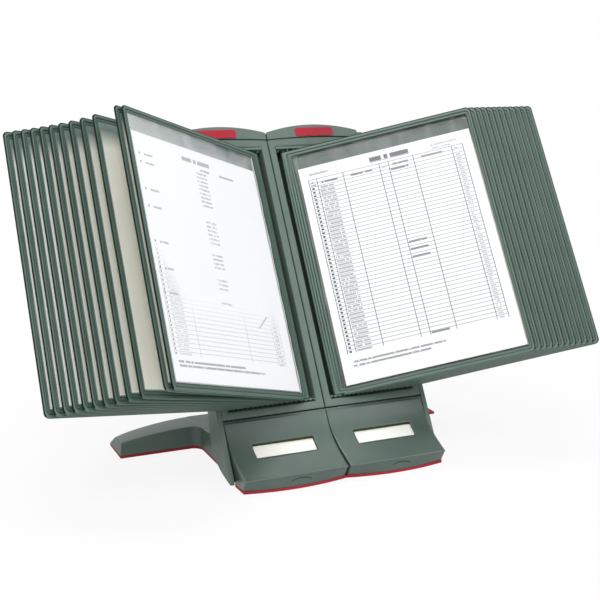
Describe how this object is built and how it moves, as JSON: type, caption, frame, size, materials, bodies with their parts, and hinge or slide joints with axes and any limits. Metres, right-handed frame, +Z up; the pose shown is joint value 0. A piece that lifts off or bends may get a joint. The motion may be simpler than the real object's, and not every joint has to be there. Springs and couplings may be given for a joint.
{
  "type": "desktop reference stand",
  "caption": "Reclined desktop reference stand: fans of flip display panels on pivot combs, letter-size pockets, arched caps, lift-up front covers with label windows, and long side feet.",
  "frame": {"origin": "floor point under the middle of the whole stand's width and depth", "axes": "+X along the row of racks to the viewer's right, +Y towards the back, +Z up"},
  "size_m": [0.6552, 0.3143, 0.4142],
  "materials": {
    "body": "fine grey-green moulded grain",
    "panel": "satin moulded green-grey",
    "comb": "dark moulded",
    "back": "dark moulded grain",
    "rubber": "matt red",
    "film": "clear glossy film",
    "paper": "white paper",
    "card": "cream card",
    "steel": "plain steel"
  },
  "bodies": {
    "stand": {"right_rack_frame": "body", "right_top_cap": "body", "right_lower_comb": "comb", "right_upper_comb": "comb", "right_back_cover": "back", "right_end_panel": "body", "right_base": "body", "right_side_foot": "body", "right_sole": "rubber", "right_cover_hinge_rod": "steel", "left_rack_frame": "body", "left_top_cap": "body", "left_lower_comb": "comb", "left_upper_comb": "comb", "left_back_cover": "back", "left_end_panel": "body", "left_base": "body", "left_side_foot": "body", "left_sole": "rubber", "left_cover_hinge_rod": "steel", "lower_join_plate": "steel", "upper_join_plate": "steel"},
    "right_panel_01": {"right_panel_01": "panel", "right_clear_pocket": "film"},
    "right_panel_02": {"right_panel_02": "panel"},
    "right_panel_03": {"right_panel_03": "panel"},
    "right_panel_04": {"right_panel_04": "panel"},
    "right_panel_05": {"right_panel_05": "panel"},
    "right_panel_06": {"right_panel_06": "panel"},
    "right_panel_07": {"right_panel_07": "panel"},
    "right_panel_08": {"right_panel_08": "panel"},
    "right_panel_09": {"right_panel_09": "panel"},
    "right_panel_10": {"right_panel_10": "panel"},
    "right_panel_11": {"right_panel_11": "panel"},
    "right_panel_12": {"right_panel_12": "panel"},
    "right_letter_sheet": {"right_letter_sheet": "paper"},
    "right_front_cover": {"right_front_cover": "body", "right_label_card": "card"},
    "left_panel_01": {"left_panel_01": "panel", "left_clear_pocket": "film"},
    "left_panel_02": {"left_panel_02": "panel"},
    "left_panel_03": {"left_panel_03": "panel"},
    "left_panel_04": {"left_panel_04": "panel"},
    "left_panel_05": {"left_panel_05": "panel"},
    "left_panel_06": {"left_panel_06": "panel"},
    "left_panel_07": {"left_panel_07": "panel"},
    "left_panel_08": {"left_panel_08": "panel"},
    "left_panel_09": {"left_panel_09": "panel"},
    "left_panel_10": {"left_panel_10": "panel"},
    "left_panel_11": {"left_panel_11": "panel"},
    "left_panel_12": {"left_panel_12": "panel"},
    "left_letter_sheet": {"left_letter_sheet": "paper"},
    "left_front_cover": {"left_front_cover": "body", "left_label_card": "card"}
  },
  "joints": [
    {"name": "right_panel_01_turn", "type": "hinge", "parent": "stand", "child": "right_panel_01", "pos_m": [0.02417, -0.0375, 0.08286], "axis": [0, -0.515, -0.8572], "range_deg": [0, 118]},
    {"name": "right_panel_02_turn", "type": "hinge", "parent": "stand", "child": "right_panel_02", "pos_m": [0.03237, -0.0375, 0.08286], "axis": [0, -0.515, -0.8572], "range_deg": [0, 118]},
    {"name": "right_panel_03_turn", "type": "hinge", "parent": "stand", "child": "right_panel_03", "pos_m": [0.04057, -0.0375, 0.08286], "axis": [0, -0.515, -0.8572], "range_deg": [0, 118]},
    {"name": "right_panel_04_turn", "type": "hinge", "parent": "stand", "child": "right_panel_04", "pos_m": [0.04877, -0.0375, 0.08286], "axis": [0, -0.515, -0.8572], "range_deg": [0, 118]},
    {"name": "right_panel_05_turn", "type": "hinge", "parent": "stand", "child": "right_panel_05", "pos_m": [0.05697, -0.0375, 0.08286], "axis": [0, -0.515, -0.8572], "range_deg": [0, 118]},
    {"name": "right_panel_06_turn", "type": "hinge", "parent": "stand", "child": "right_panel_06", "pos_m": [0.06517, -0.0375, 0.08286], "axis": [0, -0.515, -0.8572], "range_deg": [0, 118]},
    {"name": "right_panel_07_turn", "type": "hinge", "parent": "stand", "child": "right_panel_07", "pos_m": [0.07337, -0.0375, 0.08286], "axis": [0, -0.515, -0.8572], "range_deg": [0, 118]},
    {"name": "right_panel_08_turn", "type": "hinge", "parent": "stand", "child": "right_panel_08", "pos_m": [0.08157, -0.0375, 0.08286], "axis": [0, -0.515, -0.8572], "range_deg": [0, 118]},
    {"name": "right_panel_09_turn", "type": "hinge", "parent": "stand", "child": "right_panel_09", "pos_m": [0.08977, -0.0375, 0.08286], "axis": [0, -0.515, -0.8572], "range_deg": [0, 118]},
    {"name": "right_panel_10_turn", "type": "hinge", "parent": "stand", "child": "right_panel_10", "pos_m": [0.09797, -0.0375, 0.08286], "axis": [0, -0.515, -0.8572], "range_deg": [0, 118]},
    {"name": "right_panel_11_turn", "type": "hinge", "parent": "stand", "child": "right_panel_11", "pos_m": [0.10617, -0.0375, 0.08286], "axis": [0, -0.515, -0.8572], "range_deg": [0, 118]},
    {"name": "right_panel_12_turn", "type": "hinge", "parent": "stand", "child": "right_panel_12", "pos_m": [0.11437, -0.0375, 0.08286], "axis": [0, -0.515, -0.8572], "range_deg": [0, 118]},
    {"name": "right_sheet_slide", "type": "slide", "parent": "right_panel_01", "child": "right_letter_sheet", "axis": [0, 0.515, 0.8572], "range_m": [0, 0.25]},
    {"name": "right_cover_lift", "type": "hinge", "parent": "stand", "child": "right_front_cover", "pos_m": [0.06987, -0.0501, 0.06267], "axis": [-1, 0, 0], "range_deg": [0, 70]},
    {"name": "left_panel_01_turn", "type": "hinge", "parent": "stand", "child": "left_panel_01", "pos_m": [-0.01043, -0.0375, 0.08286], "axis": [0, -0.515, -0.8572], "range_deg": [-118, 0]},
    {"name": "left_panel_02_turn", "type": "hinge", "parent": "stand", "child": "left_panel_02", "pos_m": [-0.01863, -0.0375, 0.08286], "axis": [0, -0.515, -0.8572], "range_deg": [-118, 0]},
    {"name": "left_panel_03_turn", "type": "hinge", "parent": "stand", "child": "left_panel_03", "pos_m": [-0.02683, -0.0375, 0.08286], "axis": [0, -0.515, -0.8572], "range_deg": [-118, 0]},
    {"name": "left_panel_04_turn", "type": "hinge", "parent": "stand", "child": "left_panel_04", "pos_m": [-0.03503, -0.0375, 0.08286], "axis": [0, -0.515, -0.8572], "range_deg": [-118, 0]},
    {"name": "left_panel_05_turn", "type": "hinge", "parent": "stand", "child": "left_panel_05", "pos_m": [-0.04323, -0.0375, 0.08286], "axis": [0, -0.515, -0.8572], "range_deg": [-118, 0]},
    {"name": "left_panel_06_turn", "type": "hinge", "parent": "stand", "child": "left_panel_06", "pos_m": [-0.05143, -0.0375, 0.08286], "axis": [0, -0.515, -0.8572], "range_deg": [-118, 0]},
    {"name": "left_panel_07_turn", "type": "hinge", "parent": "stand", "child": "left_panel_07", "pos_m": [-0.05963, -0.0375, 0.08286], "axis": [0, -0.515, -0.8572], "range_deg": [-118, 0]},
    {"name": "left_panel_08_turn", "type": "hinge", "parent": "stand", "child": "left_panel_08", "pos_m": [-0.06783, -0.0375, 0.08286], "axis": [0, -0.515, -0.8572], "range_deg": [-118, 0]},
    {"name": "left_panel_09_turn", "type": "hinge", "parent": "stand", "child": "left_panel_09", "pos_m": [-0.07603, -0.0375, 0.08286], "axis": [0, -0.515, -0.8572], "range_deg": [-118, 0]},
    {"name": "left_panel_10_turn", "type": "hinge", "parent": "stand", "child": "left_panel_10", "pos_m": [-0.08423, -0.0375, 0.08286], "axis": [0, -0.515, -0.8572], "range_deg": [-118, 0]},
    {"name": "left_panel_11_turn", "type": "hinge", "parent": "stand", "child": "left_panel_11", "pos_m": [-0.09243, -0.0375, 0.08286], "axis": [0, -0.515, -0.8572], "range_deg": [-118, 0]},
    {"name": "left_panel_12_turn", "type": "hinge", "parent": "stand", "child": "left_panel_12", "pos_m": [-0.10063, -0.0375, 0.08286], "axis": [0, -0.515, -0.8572], "range_deg": [-118, 0]},
    {"name": "left_sheet_slide", "type": "slide", "parent": "left_panel_01", "child": "left_letter_sheet", "axis": [0, 0.515, 0.8572], "range_m": [0, 0.25]},
    {"name": "left_cover_lift", "type": "hinge", "parent": "stand", "child": "left_front_cover", "pos_m": [-0.05613, -0.0501, 0.06267], "axis": [-1, 0, 0], "range_deg": [0, 70]}
  ],
  "couplings": [
    {"joint": "right_panel_02_turn", "follows": "right_panel_01_turn", "ratio": 1},
    {"joint": "right_panel_03_turn", "follows": "right_panel_01_turn", "ratio": 1},
    {"joint": "right_panel_04_turn", "follows": "right_panel_01_turn", "ratio": 1},
    {"joint": "right_panel_05_turn", "follows": "right_panel_01_turn", "ratio": 1},
    {"joint": "right_panel_06_turn", "follows": "right_panel_01_turn", "ratio": 1},
    {"joint": "right_panel_07_turn", "follows": "right_panel_01_turn", "ratio": 1},
    {"joint": "right_panel_08_turn", "follows": "right_panel_01_turn", "ratio": 1},
    {"joint": "right_panel_09_turn", "follows": "right_panel_01_turn", "ratio": 1},
    {"joint": "right_panel_10_turn", "follows": "right_panel_01_turn", "ratio": 1},
    {"joint": "right_panel_11_turn", "follows": "right_panel_01_turn", "ratio": 1},
    {"joint": "right_panel_12_turn", "follows": "right_panel_01_turn", "ratio": 1},
    {"joint": "left_panel_02_turn", "follows": "left_panel_01_turn", "ratio": 1},
    {"joint": "left_panel_03_turn", "follows": "left_panel_01_turn", "ratio": 1},
    {"joint": "left_panel_04_turn", "follows": "left_panel_01_turn", "ratio": 1},
    {"joint": "left_panel_05_turn", "follows": "left_panel_01_turn", "ratio": 1},
    {"joint": "left_panel_06_turn", "follows": "left_panel_01_turn", "ratio": 1},
    {"joint": "left_panel_07_turn", "follows": "left_panel_01_turn", "ratio": 1},
    {"joint": "left_panel_08_turn", "follows": "left_panel_01_turn", "ratio": 1},
    {"joint": "left_panel_09_turn", "follows": "left_panel_01_turn", "ratio": 1},
    {"joint": "left_panel_10_turn", "follows": "left_panel_01_turn", "ratio": 1},
    {"joint": "left_panel_11_turn", "follows": "left_panel_01_turn", "ratio": 1},
    {"joint": "left_panel_12_turn", "follows": "left_panel_01_turn", "ratio": 1}
  ]
}
